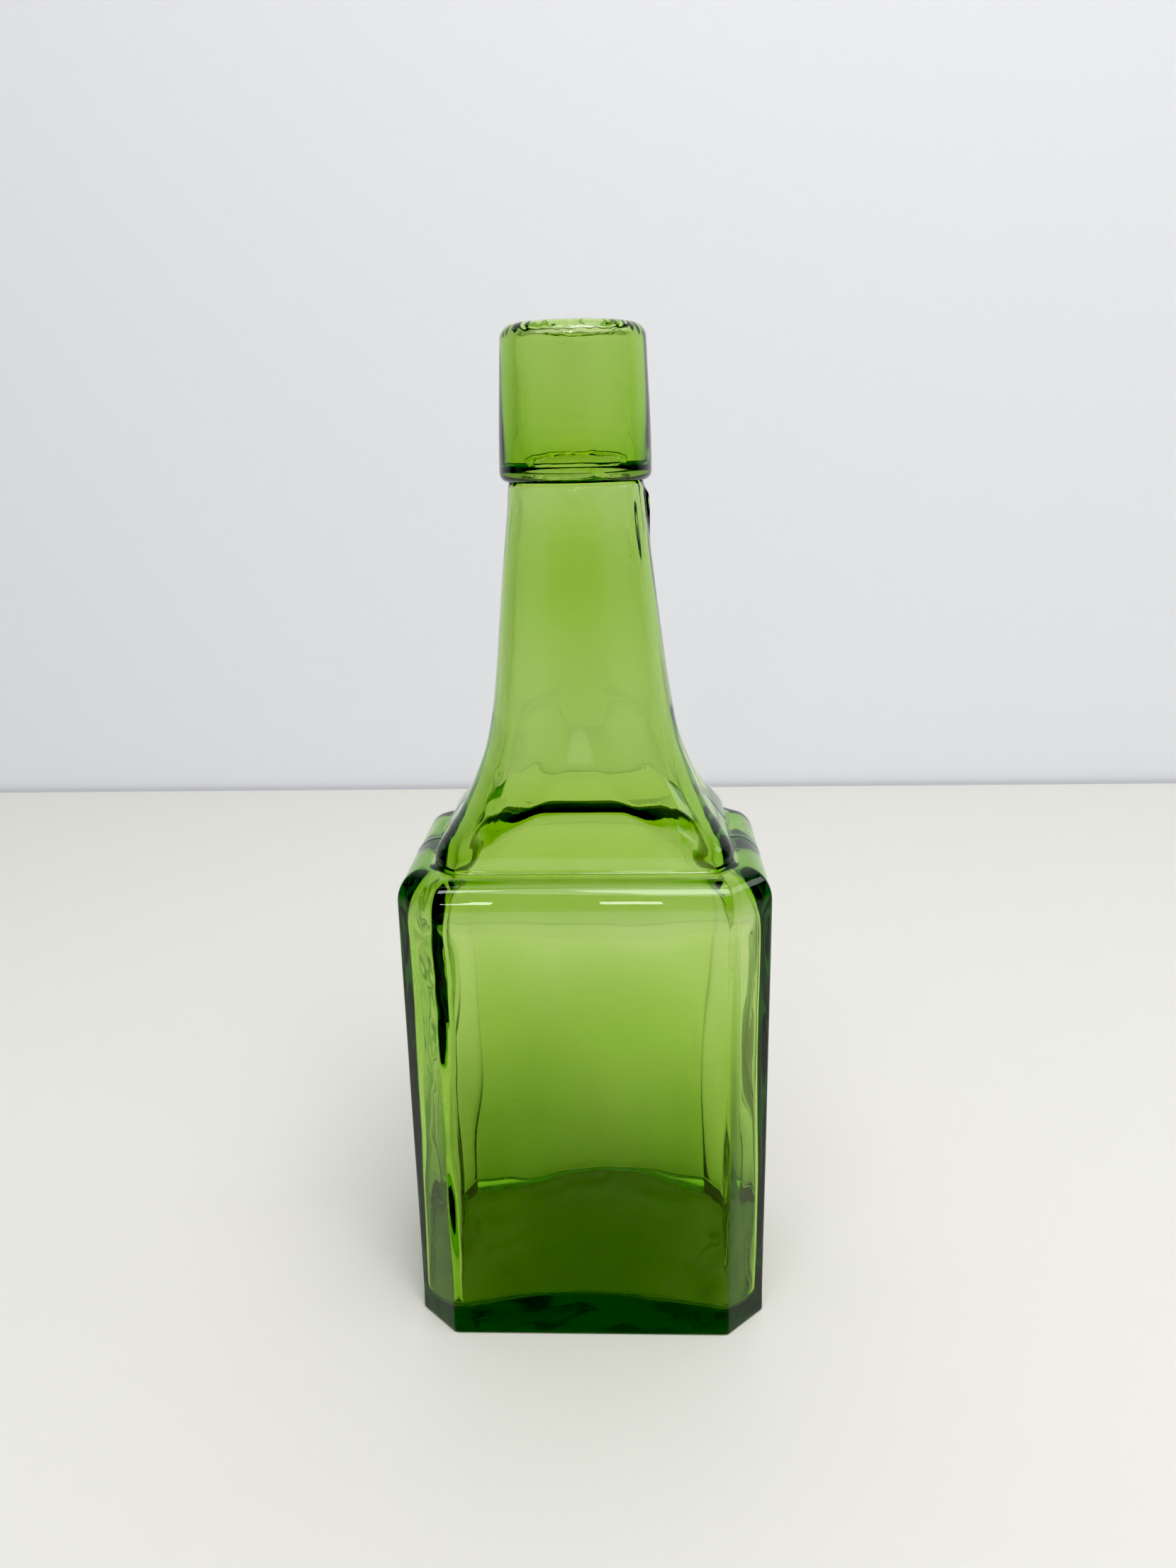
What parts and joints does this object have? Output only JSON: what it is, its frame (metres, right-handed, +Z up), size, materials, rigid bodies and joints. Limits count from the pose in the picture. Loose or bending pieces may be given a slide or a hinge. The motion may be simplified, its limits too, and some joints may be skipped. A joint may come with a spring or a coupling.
{
  "type": "glass bottle",
  "caption": "Rectangular glass bottle with chamfered corners, rounded shoulders, a square-to-round flared neck and a plain straight lip collar, empty and open.",
  "frame": {"origin": "centre of the base, on the surface that the bottle stands on", "axes": "+Z up along the neck, X across the wide face, -Y out of the front face"},
  "size_m": [0.072, 0.055, 0.198],
  "materials": {
    "body_glass": "clear yellow-green blown glass, glossy, slightly wavy inside",
    "collar_glass": "clear yellow-green glass, fire-polished, glossy"
  },
  "bodies": {
    "root": {"bottle_body": "body_glass", "lip_collar": "collar_glass"}
  },
  "joints": []
}
